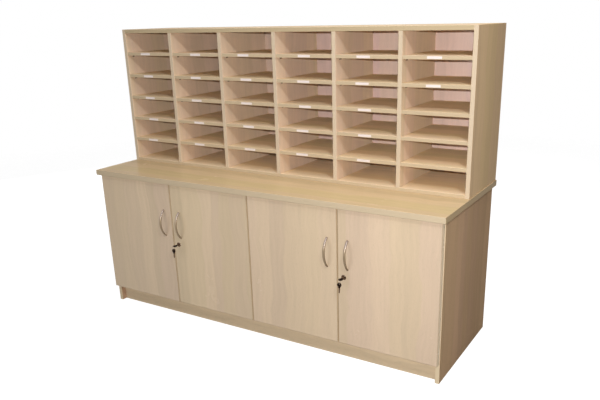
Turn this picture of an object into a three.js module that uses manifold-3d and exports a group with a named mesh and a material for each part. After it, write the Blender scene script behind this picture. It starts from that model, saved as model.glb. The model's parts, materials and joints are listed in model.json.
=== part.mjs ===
// Pigeonhole mail sorter: a rack of pigeonholes on the worktop of a cupboard with two pairs of locking doors.
// Millimetres, +X to the right, +Y to the back, +Z up, origin on the floor at the middle of the outline box.

import * as THREE from "three";
import { mergeVertices } from "three/addons/utils/BufferGeometryUtils.js";
import Module from "manifold-3d";

const wasm = await Module();
wasm.setup();

// Driving dimensions of the boards
const carcassBoard = 18;
const dividerBoard = 18;
const shelfBoard = 15;
const worktopBoard = 25;
const doorBoard = 18;
const rackBackBoard = 6;
const edgeRound = 1.5;
const arrisEase = 0.8;

// Driving dimensions of the rack
const columnCount = 6;
const rowCount = 6;
const holeWidth = 277.5;
const holeHeight = 90;
const rackDepth = 358;
const rebateDepth = 8;
const rebatePlay = 0.3;
const shelfSetback = 2;
const lapPlay = 0.3;

// Driving dimensions of the worktop and the cupboard
const counterDepth = 270;
const rackEndReveal = 4.5;
const rackRearReveal = 2;
const worktopEndOverhang = 12;
const worktopRearOverhang = 18;
const plinthHeight = 84;
const plinthSetback = 26;
const cupboardHeight = 559;
const railDepth = 80;
const notchPlay = 0.3;
const innerShelfHeight = 270;
const innerShelfSetback = 40;
const innerShelfPlay = 0.5;
const studRadius = 3.5;
const studLength = 9;
const studSink = 6;
const studInset = 60;
const studPlay = 0.2;

// Driving dimensions of the doors
const doorSetback = 17;
const doorStandOff = 2;
const doorReveal = 3;
const doorGap = 3;
const doorBottomLap = 16;
const doorTopGap = 3;

// Driving dimensions of the bow handles
const handleCentres = 128;
const handleRise = 29;
const handleWidth = 10;
const handleThickness = 8;
const handleInset = 46;
const handleHeight = 399;
const handleSink = 6;

// Driving dimensions of the concealed hinges
const hingeEndInset = 90;
const cupInset = 22.5;
const cupRadius = 17.2;
const cupDepth = 12;
const cupWall = 1.2;
const cupPlay = 0.3;
const flangeThickness = 1.2;
const flangeRadius = 19;
const flangeReach = 23;
const flangeEndRadius = 8;
const plateThickness = 3;
const plateDrillLine = 37;
const plateLength = 42;
const plateWidth = 16;
const plateWingReach = 18;
const plateWingRadius = 7;
const armWidth = 15;
const armThickness = 10;
const armTail = 34;
const armCrankLength = 14;
const armNosePlay = 0.6;

// Driving dimensions of the locks
const lockInset = 28;
const lockHeight = 302;
const lockFaceRadius = 11;
const lockFaceThickness = 2.5;
const lockBarrelRadius = 9.4;
const lockBarrelPlay = 0.3;
const lockNutRadius = 13;
const lockNutThickness = 2.5;
const plugRadius = 6.2;
const plugPlay = 0.3;
const plugProud = 0.3;
const camThickness = 2;
const camWidth = 14;
const camReach = 42;
const camStandOff = 0.8;

// Driving dimensions of the keys and their ring
const keyHeadRadius = 9.3;
const keyHeadThickness = 3.6;
const keyNeckWidth = 9;
const keyNeckReach = 14;
const keyShankShown = 15.4;
const keyBladeWidth = 5.4;
const keyBladeThickness = 2;
const keyBladeInLock = 11;
const keyTipTaper = 1.6;
const keyBladeInHead = 5;
const keyPlay = 0.3;
const keyHoleRadius = 2.6;
const keyHoleRim = 2.1;
const ringRadius = 8.5;
const ringWireRadius = 0.65;
const ringSeat = 0.3;
const ringLean = 2.8;

// Facets of round pieces, and how near two corners count as one
const edgeSteps = 2;
const arcSteps = 3;
const roundSteps = 20;
const handleSides = 10;
const handleSteps = 14;
const ringSides = 6;
const mergeDistance = 1e-4;

// Widths and places across the object
const rackInnerWidth = columnCount * holeWidth + (columnCount - 1) * dividerBoard;
const rackWidth = rackInnerWidth + 2 * carcassBoard;
const worktopLength = rackWidth + 2 * rackEndReveal;
const carcassWidth = worktopLength - 2 * worktopEndOverhang;
const carcassInnerWidth = carcassWidth - 2 * carcassBoard;
const bayWidth = (carcassInnerWidth - carcassBoard) / 2;
const doorPairSpan = carcassWidth / 2 - doorReveal - doorGap / 2;
const doorWidth = (doorPairSpan - doorGap) / 2;

// Depths, counted from the front edge of the worktop
const carcassFront = doorSetback + doorBoard + doorStandOff;
const worktopDepth = counterDepth + rackDepth + rackRearReveal;
const carcassBack = worktopDepth - worktopRearOverhang;
const baseBackFront = carcassBack - carcassBoard;
const plinthFront = carcassFront + plinthSetback;
const innerShelfFront = carcassFront + innerShelfSetback;
const innerShelfBack = baseBackFront - innerShelfPlay;
const rackBackFront = rackDepth - rackBackBoard;
const lapMiddle = (shelfSetback + rackBackFront) / 2;

// Heights, counted from the floor
const deckTop = plinthHeight + carcassBoard;
const railBottom = deckTop + cupboardHeight;
const carcassTop = railBottom + carcassBoard;
const worktopTop = carcassTop + worktopBoard;
const doorBottom = deckTop - doorBottomLap;
const doorHeight = carcassTop - doorTopGap - doorBottom;
const innerShelfBottom = deckTop + innerShelfHeight;
const studHeight = innerShelfBottom - studPlay - studRadius;
const rowPitch = holeHeight + shelfBoard;
const rackHoleBottom = shelfBoard;
const rackHoleTop = rackHoleBottom + rowCount * rowPitch - shelfBoard;
const rackHeight = rackHoleTop + carcassBoard;

// Depths inside a door, counted from its front face
const cupFlangeBack = doorBoard + flangeThickness;
const lockBarrelEnd = doorBoard + lockNutThickness;
const camFront = lockBarrelEnd + camStandOff;
const camBack = camFront + camThickness;
const plugFront = -lockFaceThickness - plugProud;

// A key's head lies this far before the plug, and the ring hangs in the hole near the head's far rim
const keyHeadCentre = plugFront - keyShankShown - keyHeadRadius;
const keyHoleOffset = keyHeadRadius - keyHoleRim - keyHoleRadius;
const keyReach = keyHeadRadius + keyShankShown + keyBladeInLock;
const ringHang = hangOfRing();
const ringCentreDepth = keyHeadCentre - ringHang.ahead;
const ringBottom = -ringHang.below - ringRadius;
const wireRise = ringRadius - Math.sqrt(ringRadius ** 2 - (keyHeadThickness / 2) ** 2);
const spareHoleDrop = keyHoleRadius - ringWireRadius - ringSeat - wireRise;
const spareHeadHeight = ringBottom - spareHoleDrop - keyHoleOffset;
const frontReach = doorSetback + ringCentreDepth - ringRadius - ringWireRadius;

// Where the ring's middle lies once its wire runs through the hole and hangs on the rim of the key's head.
function hangOfRing() {
  const innerRadius = ringRadius - ringWireRadius - ringSeat;
  const halfHead = keyHeadThickness / 2;
  const rimStart = keyHeadRadius - keyHoleRim;
  const lean = keyHoleRim / 2 + ringLean;
  const ahead = rimStart + lean;
  return { ahead, below: Math.sqrt(innerRadius ** 2 - lean ** 2) - halfHead };
}

// A finish of its own for each piece.
function finish(color, roughness, metalness) {
  return new THREE.MeshStandardMaterial({ color, roughness, metalness });
}
const beech = () => finish(0xd8bd94, 0.5, 0);
const worktopBeech = () => finish(0xd2b583, 0.45, 0);
const doorBeech = () => finish(0xd6c0a0, 0.5, 0);
const satinChrome = () => finish(0xbdb8ad, 0.3, 1);
const nickel = () => finish(0xb9b9b4, 0.35, 1);
const blackHead = () => finish(0x1d1817, 0.45, 0);

function piece(name, geometry, material) {
  const mesh = new THREE.Mesh(geometry, material);
  mesh.name = name;
  return mesh;
}

// A closed geometry as a solid for joins and cuts, and back.
function solid(geometry) {
  const bare = geometry.index ? geometry.toNonIndexed() : geometry.clone();
  bare.deleteAttribute("normal");
  bare.deleteAttribute("uv");
  const merged = mergeVertices(bare, mergeDistance);
  const vertProperties = new Float32Array(merged.attributes.position.array);
  const triVerts = new Uint32Array(merged.index.array);
  return new wasm.Manifold(new wasm.Mesh({ numProp: 3, vertProperties, triVerts }));
}
function geometryOf(body) {
  const mesh = body.getMesh();
  const geometry = new THREE.BufferGeometry();
  geometry.setAttribute("position", new THREE.BufferAttribute(mesh.vertProperties, 3));
  geometry.setIndex(new THREE.BufferAttribute(mesh.triVerts, 1));
  geometry.computeVertexNormals();
  return geometry;
}

function outline(points) {
  return new THREE.Shape(points.map(([a, b]) => new THREE.Vector2(a, b)));
}
function rectangle(left, right, low, high) {
  return outline([[left, low], [right, low], [right, high], [left, high]]);
}

// Extrudes an outline from one place to another along an axis, with its arrises eased.
// The outline lies in the plane of the other two axes, taken in the order x, y, z.
const extrudeBases = {
  x: [[0, 1, 0], [0, 0, 1], [1, 0, 0]],
  y: [[1, 0, 0], [0, 0, 1], [0, -1, 0]],
  z: [[1, 0, 0], [0, 1, 0], [0, 0, 1]],
};
function extrude(axis, shape, from, to, ease = 0, curveSegments = edgeSteps) {
  const geometry = new THREE.ExtrudeGeometry(shape, {
    depth: to - from - 2 * ease,
    bevelEnabled: ease > 0,
    bevelThickness: ease,
    bevelSize: ease,
    bevelOffset: -ease,
    bevelSegments: 1,
    curveSegments,
  });
  const start = axis === "y" ? -to : from;
  geometry.translate(0, 0, start + ease);
  const basis = extrudeBases[axis].map((column) => new THREE.Vector3(...column));
  geometry.applyMatrix4(new THREE.Matrix4().makeBasis(...basis));
  return geometry;
}

// The section of a board with a rounded front edge, and a rebate along its back when one is given.
// place(across, back) puts a point of the section in its plane.
function boardSection(thickness, depth, place, rebate) {
  const shape = new THREE.Shape();
  shape.moveTo(...place(0, depth));
  shape.lineTo(...place(0, edgeRound));
  shape.quadraticCurveTo(...place(0, 0), ...place(edgeRound, 0));
  shape.lineTo(...place(thickness - edgeRound, 0));
  shape.quadraticCurveTo(...place(thickness, 0), ...place(thickness, edgeRound));
  if (rebate) {
    shape.lineTo(...place(thickness, rebate.front));
    shape.lineTo(...place(thickness - rebate.depth, rebate.front));
    shape.lineTo(...place(thickness - rebate.depth, depth));
  } else {
    shape.lineTo(...place(thickness, depth));
  }
  return shape;
}

// A round bar along Y, from one depth to another.
function barAlongY(radius, from, to, x, z) {
  const bar = new THREE.CylinderGeometry(radius, radius, to - from, roundSteps);
  return bar.translate(x, (from + to) / 2, z);
}

// The rack's boards, in the rack's own frame: front at y 0, standing at z 0.
function rack() {
  const group = new THREE.Group();
  const half = rackInnerWidth / 2;
  const rebate = { front: rackBackFront, depth: rebateDepth };
  for (const [name, sign] of [["rack_left_side", -1], ["rack_right_side", 1]]) {
    const place = (across, back) => [sign * (half + carcassBoard - across), back];
    const section = boardSection(carcassBoard, rackDepth, place, rebate);
    group.add(piece(name, extrude("z", section, 0, rackHeight, arrisEase), beech()));
  }
  const topSection = boardSection(carcassBoard, rackDepth, (a, b) => [b, rackHeight - a], rebate);
  group.add(piece("rack_top", extrude("x", topSection, -half, half), beech()));
  const bottomSection = boardSection(shelfBoard, rackDepth, (a, b) => [b, a], rebate);
  group.add(piece("rack_bottom", extrude("x", bottomSection, -half, half), beech()));

  const lap = rebateDepth - rebatePlay;
  const backOutline = rectangle(-half - lap, half + lap, rackHoleBottom - lap, rackHoleTop + lap);
  group.add(piece("rack_back", extrude("y", backOutline, rackBackFront, rackDepth), beech()));

  const shelfBottoms = [];
  for (let row = 1; row < rowCount; row++) {
    shelfBottoms.push(rackHoleTop - row * rowPitch);
  }
  const dividerMiddles = [];
  for (let column = 1; column < columnCount; column++) {
    dividerMiddles.push(-half + column * (holeWidth + dividerBoard) - dividerBoard / 2);
  }
  dividerMiddles.forEach((middle, i) => {
    const from = middle - dividerBoard / 2;
    const board = extrude("x", dividerOutline(shelfBottoms), from, from + dividerBoard, arrisEase);
    group.add(piece(`rack_divider_${i + 1}`, board, beech()));
  });
  shelfBottoms.forEach((bottom, i) => {
    const board = extrude("z", shelfOutline(dividerMiddles, half), bottom, bottom + shelfBoard, arrisEase);
    group.add(piece(`rack_shelf_${i + 1}`, board, beech()));
  });
  return group;
}

// A divider is slotted from behind, so that its front edge runs on from top to bottom.
function dividerOutline(shelfBottoms) {
  const points = [[0, rackHoleTop], [0, rackHoleBottom], [rackBackFront, rackHoleBottom]];
  for (const bottom of [...shelfBottoms].reverse()) {
    const low = bottom - lapPlay;
    const high = bottom + shelfBoard + lapPlay;
    points.push([rackBackFront, low], [lapMiddle, low], [lapMiddle, high], [rackBackFront, high]);
  }
  points.push([rackBackFront, rackHoleTop]);
  return outline(points);
}

// A shelf is slotted from the front, and its back half fills the dividers' slots.
function shelfOutline(dividerMiddles, half) {
  const points = [[half, rackBackFront], [-half, rackBackFront], [-half, shelfSetback]];
  const slotEnd = lapMiddle + lapPlay;
  for (const middle of dividerMiddles) {
    const left = middle - dividerBoard / 2 - lapPlay;
    const right = middle + dividerBoard / 2 + lapPlay;
    points.push([left, shelfSetback], [left, slotEnd], [right, slotEnd], [right, shelfSetback]);
  }
  points.push([half, shelfSetback]);
  return outline(points);
}

// Adds the studs of a cupboard shelf to a board: at is the board's face, sign the way that they stand out.
function withStuds(board, faces) {
  let body = solid(board);
  for (const [at, sign] of faces) {
    for (const depth of [innerShelfFront + studInset, innerShelfBack - studInset]) {
      const stud = new THREE.CylinderGeometry(studRadius, studRadius, studLength + studSink, roundSteps / 2);
      stud.rotateZ(Math.PI / 2);
      stud.translate(at + (sign * (studLength - studSink)) / 2, depth, studHeight);
      body = body.add(solid(stud));
    }
  }
  return geometryOf(body);
}

// The cupboard's boards and the worktop, from the worktop's front edge at y 0.
function base() {
  const group = new THREE.Group();
  const half = carcassInnerWidth / 2;
  const worktopSection = boardSection(worktopBoard, worktopDepth, (a, b) => [b, carcassTop + a]);
  const worktop = extrude("x", worktopSection, -worktopLength / 2, worktopLength / 2, arrisEase);
  group.add(piece("worktop", worktop, worktopBeech()));

  for (const [name, sign] of [["base_left_side", -1], ["base_right_side", 1]]) {
    const place = (across, back) => [sign * (half + carcassBoard - across), carcassFront + back];
    const section = boardSection(carcassBoard, carcassBack - carcassFront, place);
    const board = extrude("z", section, 0, carcassTop);
    group.add(piece(name, withStuds(board, [[sign * half, -sign]]), beech()));
  }

  const railBack = carcassFront + railDepth;
  const partitionOutline = outline([
    [carcassFront, deckTop],
    [baseBackFront, deckTop],
    [baseBackFront, carcassTop],
    [railBack + notchPlay, carcassTop],
    [railBack + notchPlay, railBottom - notchPlay],
    [carcassFront, railBottom - notchPlay],
  ]);
  const face = carcassBoard / 2;
  const partition = extrude("x", partitionOutline, -face, face, arrisEase);
  group.add(piece("base_partition", withStuds(partition, [[-face, -1], [face, 1]]), beech()));

  const deckSection = boardSection(carcassBoard, baseBackFront - carcassFront, (a, b) => [
    carcassFront + b,
    plinthHeight + a,
  ]);
  group.add(piece("base_deck", extrude("x", deckSection, -half, half), beech()));
  const railSection = boardSection(carcassBoard, railDepth, (a, b) => [carcassFront + b, railBottom + a]);
  group.add(piece("top_rail", extrude("x", railSection, -half, half), beech()));

  const backOutline = rectangle(-half, half, 0, carcassTop);
  group.add(piece("base_back", extrude("y", backOutline, baseBackFront, carcassBack), beech()));
  const plinthOutline = rectangle(-half, half, 0, plinthHeight);
  const plinthBack = plinthFront + carcassBoard;
  group.add(piece("plinth", extrude("y", plinthOutline, plinthFront, plinthBack), beech()));
  const stretcherOutline = rectangle(plinthBack, baseBackFront, 0, plinthHeight);
  group.add(piece("plinth_stretcher", extrude("x", stretcherOutline, -face, face), beech()));

  for (const [name, sign] of [["cupboard_shelf_left", -1], ["cupboard_shelf_right", 1]]) {
    const near = sign * (face + innerShelfPlay);
    const far = sign * (face + bayWidth - innerShelfPlay);
    const depth = innerShelfBack - innerShelfFront;
    const section = boardSection(carcassBoard, depth, (a, b) => [innerShelfFront + b, innerShelfBottom + a]);
    const board = extrude("x", section, Math.min(near, far), Math.max(near, far));
    group.add(piece(name, board, beech()));
  }
  return group;
}

// A bow handle in the plane of its bow: its feet stand on the door's face at y 0, its bow rises towards -y.
function handle(name, x, z) {
  const halfSpan = handleCentres / 2;
  const bowRadius = (halfSpan ** 2 + handleRise ** 2) / (2 * handleRise);
  const reach = Math.asin(halfSpan / bowRadius) + handleSink / bowRadius;
  const bow = new THREE.EllipseCurve(0, 0, bowRadius, bowRadius, -reach, reach);
  const path = new THREE.CatmullRomCurve3(
    bow.getPoints(handleSteps).map((p) => new THREE.Vector3(0, bowRadius - handleRise - p.x, p.y)),
  );
  const section = new THREE.Shape();
  section.absellipse(0, 0, handleWidth / 2, handleThickness / 2, 0, 2 * Math.PI);
  const bar = new THREE.ExtrudeGeometry(section, {
    steps: handleSteps,
    curveSegments: handleSides / 2,
    extrudePath: path,
  });
  const behindFace = rectangle(-handleWidth, handleWidth, -handleCentres, handleCentres);
  const sunk = extrude("y", behindFace, 0, doorBoard);
  const mesh = piece(name, geometryOf(solid(bar).subtract(solid(sunk))), satinChrome());
  mesh.position.set(x, 0, z);
  return mesh;
}

// A hinge cup, in the frame of its bore's mouth: +y points out of the door's back.
function hingeCup(name, x, z) {
  const shell = barAlongY(cupRadius, -cupDepth, flangeThickness, 0, 0);
  const hollow = barAlongY(cupRadius - cupWall, cupWall - cupDepth, 2 * flangeThickness, 0, 0);
  const neck = Math.acos(flangeEndRadius / flangeRadius);
  const shape = new THREE.Shape();
  shape.absarc(0, flangeReach, flangeEndRadius, 0, Math.PI);
  shape.absarc(0, 0, flangeRadius, Math.PI - neck, Math.PI + neck);
  shape.absarc(0, -flangeReach, flangeEndRadius, Math.PI, 2 * Math.PI);
  shape.absarc(0, 0, flangeRadius, -neck, neck);
  const flange = extrude("y", shape, 0, flangeThickness, 0, arcSteps);
  const cup = solid(shell).add(solid(flange)).subtract(solid(hollow));
  const mesh = piece(name, geometryOf(cup), nickel());
  mesh.position.set(x, doorBoard, z);
  return mesh;
}

// A hinge arm on its wing plate, in the frame of the hinge line: sign is the way to the door's free edge,
// panelFace the distance from the hinge line to the face that carries the plate.
function hingeArm(name, sign, panelFace, z) {
  const front = doorBoard + doorStandOff;
  const drillLine = front + plateDrillLine;
  const plateTop = panelFace + plateThickness;
  const nose = cupFlangeBack + armNosePlay;
  const noseLow = cupInset - armThickness / 2;
  const crankStart = nose + armThickness;
  const crankEnd = crankStart + armCrankLength;
  const arm = outline([
    [sign * noseLow, nose],
    [sign * (noseLow + armThickness), nose],
    [sign * (noseLow + armThickness), crankStart],
    [sign * (plateTop + armThickness), crankEnd],
    [sign * (plateTop + armThickness), drillLine + armTail],
    [sign * (plateTop - plateThickness / 2), drillLine + armTail],
    [sign * (plateTop - plateThickness / 2), crankEnd],
    [sign * noseLow, crankStart],
  ]);
  const bar = extrude("z", arm, z - armWidth / 2, z + armWidth / 2, arrisEase);

  const wing = new THREE.Shape();
  const halfLength = plateLength / 2;
  const halfWidth = plateWidth / 2;
  wing.moveTo(drillLine - halfLength, z - halfWidth);
  wing.lineTo(drillLine - plateWingRadius, z - halfWidth);
  wing.absarc(drillLine, z - plateWingReach, plateWingRadius, Math.PI, 2 * Math.PI);
  wing.lineTo(drillLine + plateWingRadius, z - halfWidth);
  wing.lineTo(drillLine + halfLength, z - halfWidth);
  wing.lineTo(drillLine + halfLength, z + halfWidth);
  wing.lineTo(drillLine + plateWingRadius, z + halfWidth);
  wing.absarc(drillLine, z + plateWingReach, plateWingRadius, 0, Math.PI);
  wing.lineTo(drillLine - plateWingRadius, z + halfWidth);
  wing.lineTo(drillLine - halfLength, z + halfWidth);
  const [near, far] = [sign * panelFace, sign * plateTop];
  const plate = extrude("x", wing, Math.min(near, far), Math.max(near, far), 0, arcSteps);
  return piece(name, geometryOf(solid(bar).add(solid(plate))), nickel());
}

// A key with its shank along +y: the middle of its round head lies at the origin, and a neck grips the blade.
function keyGeometry() {
  const halfNeck = keyNeckWidth / 2;
  const neckAngle = Math.asin(halfNeck / keyHeadRadius);
  const head = new THREE.Shape();
  head.absarc(0, 0, keyHeadRadius, Math.PI / 2 + neckAngle, 2.5 * Math.PI - neckAngle);
  head.lineTo(halfNeck, keyNeckReach);
  head.lineTo(-halfNeck, keyNeckReach);
  const hole = new THREE.Path();
  hole.absarc(0, -keyHoleOffset, keyHoleRadius, 0, 2 * Math.PI, true);
  head.holes.push(hole);
  const halfHead = keyHeadThickness / 2;
  const disc = extrude("z", head, -halfHead, halfHead, 0, roundSteps / 2);
  const halfBlade = keyBladeWidth / 2;
  const blade = outline([
    [-halfBlade, keyHeadRadius - keyBladeInHead],
    [halfBlade, keyHeadRadius - keyBladeInHead],
    [halfBlade, keyReach - keyTipTaper],
    [halfBlade - keyTipTaper, keyReach],
    [keyTipTaper - halfBlade, keyReach],
    [-halfBlade, keyReach - keyTipTaper],
  ]);
  const shank = extrude("z", blade, -keyBladeThickness / 2, keyBladeThickness / 2);
  return geometryOf(solid(disc).add(solid(shank)));
}

// The lock's fixed housing: a round face before the door, a barrel through it and a nut behind it.
function lockHousing(name) {
  const bore = plugRadius + plugPlay;
  const profile = [
    [bore, -lockFaceThickness],
    [lockFaceRadius - arrisEase, -lockFaceThickness],
    [lockFaceRadius, arrisEase - lockFaceThickness],
    [lockFaceRadius, 0],
    [lockBarrelRadius, 0],
    [lockBarrelRadius, doorBoard],
    [lockNutRadius, doorBoard],
    [lockNutRadius, lockBarrelEnd],
    [bore, lockBarrelEnd],
    [bore, -lockFaceThickness],
  ];
  const points = profile.map(([r, y]) => new THREE.Vector2(r, y));
  return piece(name, new THREE.LatheGeometry(points, roundSteps), nickel());
}

// The plug that turns in the housing, with a keyway across its face and a cam hanging behind the door.
function lockPlug(name) {
  const plug = barAlongY(plugRadius, plugFront, camBack, 0, 0);
  const halfCam = camWidth / 2;
  const lever = new THREE.Shape();
  lever.absarc(0, 0, halfCam, 0, Math.PI);
  lever.absarc(0, halfCam - camReach, halfCam, Math.PI, 2 * Math.PI);
  const cam = extrude("y", lever, camFront, camBack, 0, arcSteps);
  const halfWide = keyBladeWidth / 2 + keyPlay;
  const halfThick = keyBladeThickness / 2 + keyPlay;
  const keyway = extrude(
    "y",
    rectangle(-halfWide, halfWide, -halfThick, halfThick),
    plugFront - plugRadius,
    plugFront + keyBladeInLock + keyPlay,
  );
  const body = solid(plug).add(solid(cam)).subtract(solid(keyway));
  return piece(name, geometryOf(body), nickel());
}

// A lock with its key, ring and spare key, in the frame of the plug's axis at the door's face.
function lock(sideName) {
  const group = new THREE.Group();
  group.add(lockHousing(`lock_housing_${sideName}`), lockPlug(`lock_plug_${sideName}`));
  const key = piece(`key_${sideName}`, keyGeometry(), blackHead());
  key.position.y = keyHeadCentre;
  const ring = piece(
    `key_ring_${sideName}`,
    new THREE.TorusGeometry(ringRadius, ringWireRadius, ringSides, roundSteps),
    nickel(),
  );
  ring.rotation.y = Math.PI / 2;
  ring.position.set(0, ringCentreDepth, -ringHang.below);
  const spare = piece(`spare_key_${sideName}`, keyGeometry(), blackHead());
  spare.rotation.x = -Math.PI / 2;
  spare.position.set(0, ringCentreDepth, spareHeadHeight);
  group.add(key, ring, spare);
  return group;
}

// A door with what is fixed to it, in the frame of its hinge line at the foot of its front outer edge.
function door(number, sign, lockName) {
  const group = new THREE.Group();
  const [left, right] = sign > 0 ? [0, doorWidth] : [-doorWidth, 0];
  let body = solid(extrude("y", rectangle(left, right, 0, doorHeight), 0, doorBoard, arrisEase));
  const hingeHeights = { lower: hingeEndInset, upper: doorHeight - hingeEndInset };
  for (const [level, z] of Object.entries(hingeHeights)) {
    const boreEnd = doorBoard - cupDepth - cupPlay;
    const bore = barAlongY(cupRadius + cupPlay, boreEnd, 2 * doorBoard, sign * cupInset, z);
    body = body.subtract(solid(bore));
    group.add(hingeCup(`hinge_cup_${number}_${level}`, sign * cupInset, z));
  }
  if (lockName) {
    const lockX = sign * (doorWidth - lockInset);
    const boreRadius = lockBarrelRadius + lockBarrelPlay;
    const bore = barAlongY(boreRadius, -doorBoard, 2 * doorBoard, lockX, lockHeight);
    body = body.subtract(solid(bore));
    const lockGroup = lock(lockName);
    lockGroup.position.set(lockX, 0, lockHeight);
    group.add(lockGroup);
  }
  group.add(piece(`door_${number}`, geometryOf(body), doorBeech()));
  group.add(handle(`handle_${number}`, sign * (doorWidth - handleInset), handleHeight));
  return group;
}

// The four doors on their hinge lines, and the arms that carry them on the side boards and the partition.
function doors() {
  const group = new THREE.Group();
  const outerLine = carcassWidth / 2 - doorReveal;
  const outerFace = carcassBoard - doorReveal;
  const innerFace = (carcassBoard - doorGap) / 2;
  const hung = [
    { line: -outerLine, sign: 1, panelFace: outerFace },
    { line: -doorGap / 2, sign: -1, panelFace: innerFace, lockName: "left" },
    { line: doorGap / 2, sign: 1, panelFace: innerFace },
    { line: outerLine, sign: -1, panelFace: outerFace, lockName: "right" },
  ];
  hung.forEach(({ line, sign, panelFace, lockName }, i) => {
    const number = i + 1;
    const leaf = door(number, sign, lockName);
    const arms = new THREE.Group();
    arms.add(hingeArm(`hinge_arm_${number}_lower`, sign, panelFace, hingeEndInset));
    arms.add(hingeArm(`hinge_arm_${number}_upper`, sign, panelFace, doorHeight - hingeEndInset));
    leaf.position.set(line, doorSetback, doorBottom);
    arms.position.copy(leaf.position);
    group.add(leaf, arms);
  });
  return group;
}

const mailSorter = new THREE.Group();
const pigeonholes = rack();
pigeonholes.position.set(0, counterDepth, worktopTop);
mailSorter.add(base(), doors(), pigeonholes);
mailSorter.position.y = -(frontReach + worktopDepth) / 2;

export default mailSorter;
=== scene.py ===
"""Dresses a pigeonhole mail sorter: melamine boards, handles, hinges, locks, keys, studs and labels."""

import json
import math

import bmesh
import bpy
from bpy.props import FloatProperty, FloatVectorProperty, PointerProperty
from mathutils import Matrix, Vector


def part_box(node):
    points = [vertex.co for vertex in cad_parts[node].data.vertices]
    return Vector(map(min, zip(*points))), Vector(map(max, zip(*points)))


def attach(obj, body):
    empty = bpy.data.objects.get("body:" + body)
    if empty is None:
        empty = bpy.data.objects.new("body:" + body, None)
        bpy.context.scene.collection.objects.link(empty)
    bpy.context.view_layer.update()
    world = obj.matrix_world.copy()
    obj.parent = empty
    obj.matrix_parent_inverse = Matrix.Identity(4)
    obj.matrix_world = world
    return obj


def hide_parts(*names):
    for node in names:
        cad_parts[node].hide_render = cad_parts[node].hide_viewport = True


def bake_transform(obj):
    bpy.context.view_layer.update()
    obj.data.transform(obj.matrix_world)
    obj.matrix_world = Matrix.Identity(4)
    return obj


bl_info = {
    "name": "Pigeonhole mail sorter",
    "version": (1, 0, 0),
    "blender": (4, 5, 0),
    "location": "View3D > Sidebar > Mail sorter",
    "description": "Finishes, hardware and labels of a pigeonhole mail sorter, and its stage",
    "category": "Object",
}

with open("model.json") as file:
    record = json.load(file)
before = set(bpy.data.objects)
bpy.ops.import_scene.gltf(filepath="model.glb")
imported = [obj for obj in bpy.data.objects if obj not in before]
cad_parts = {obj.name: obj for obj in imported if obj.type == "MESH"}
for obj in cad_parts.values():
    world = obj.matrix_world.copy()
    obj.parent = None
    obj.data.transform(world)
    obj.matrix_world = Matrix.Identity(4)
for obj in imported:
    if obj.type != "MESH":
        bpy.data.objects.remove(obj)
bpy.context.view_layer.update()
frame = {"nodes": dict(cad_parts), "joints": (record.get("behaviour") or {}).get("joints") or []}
JOINTS = {joint["name"]: joint for joint in frame["joints"]}
MM = 0.001

# The photograph's frame, in pixels
IMAGE_WIDTH = 600
IMAGE_HEIGHT = 400

# Boards of the rack, from left to right and from top to bottom
DIVIDERS = [f"rack_divider_{n}" for n in range(1, 6)]
RACK_SHELVES = [f"rack_shelf_{n}" for n in range(1, 6)]
RACK_UPRIGHTS = ["rack_left_side", *DIVIDERS, "rack_right_side"]

# The doors, and how the names of their hinges, locks and keys end
DOORS = [f"door_{n}" for n in range(1, 5)]
LEVELS = ["lower", "upper"]
SIDES = ["left", "right"]

# How far each label sits to the right of its pigeonhole's middle, in millimetres, stuck on by hand
LABEL_OFFSETS = [
    (-19, 2, -18, 4, -13, -8),
    (-13, -6, -9, -2, -18, -9),
    (-16, -11, -13, 3, -7),
    (-7, -7, -9, -13, -6),
    (-24, -15, -8, -19, -11),
]

# Beech decor, in metres
BOARD_STEP = 7.3  # in the decor, from board to board
SWAY_SCALE = 6.0
SWAY_STRETCH = 0.9
SWAY_REACH = 0.06
PLANK_SOFTNESS = 0.25

# Shades of a board's colour, and how strongly its scuffs show
FLECK_SHADE = 0.62
SCUFF_SHADE = 0.45
SCUFF_SHARE = 0.2

# Shelf pins and sleeves
PIN_RIM = 0.8 * MM  # straight part of the collar
PIN_COLLAR = 1.2 * MM  # height of the collar with its chamfer
PIN_CHAMFER = 0.6 * MM
SLEEVE_REACH = 9.3 * MM
SLEEVE_GAP = 0.5 * MM  # between a cupboard shelf's end and the wall

# Hinges
CUP_SCREW_INSET = 8 * MM
PLATE_SCREW_INSET = 7 * MM
DRILL_LINE = 57 * MM  # from the hinge line back to the plate's screws
ARM_SCREWS = (-8 * MM, 20 * MM)  # from the drill line
ARM_SCREW_SHARE = 0.9  # of the other screws' size
PLATE_HEIGHT = 3 * MM
ARM_HEIGHT = 13 * MM
LINK_NOSE = 4 * MM  # out of the cup
LINK_FLOOR = 3 * MM  # off the cup's floor
LINK_SPREAD = 3.4 * MM  # from the middle of the hinge
LINK_CORNER = 0.6 * MM

# Handles, keys and rings
BOW_SLIMMING = 0.14  # share of its section that a bow loses to its feet
KEY_SOFTNESS = 0.7 * MM
KEY_HOLE = 2.6 * MM  # radius
KEY_HOLE_CHAMFER = 0.3 * MM
KEY_HOLE_PLACE = -4.6 * MM  # from the middle of the head
NECK_CORNER = 1.2 * MM
BLADE_GRIP = 4 * MM  # of the neck on the blade
BLADE_TAPER = 1.6 * MM
CUT_DEPTHS = (0.7 * MM, 1.5 * MM, 0.5 * MM, 1.2 * MM)
CUT_PITCH = 3 * MM
CUT_FLAT = (1.1 * MM, 1.9 * MM)  # where a cut's floor begins and ends
CUT_MARGIN = 0.4 * MM  # between the last cut and the taper
RING_INSET = 0.65 * MM  # from the outside to the wire's middle

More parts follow.
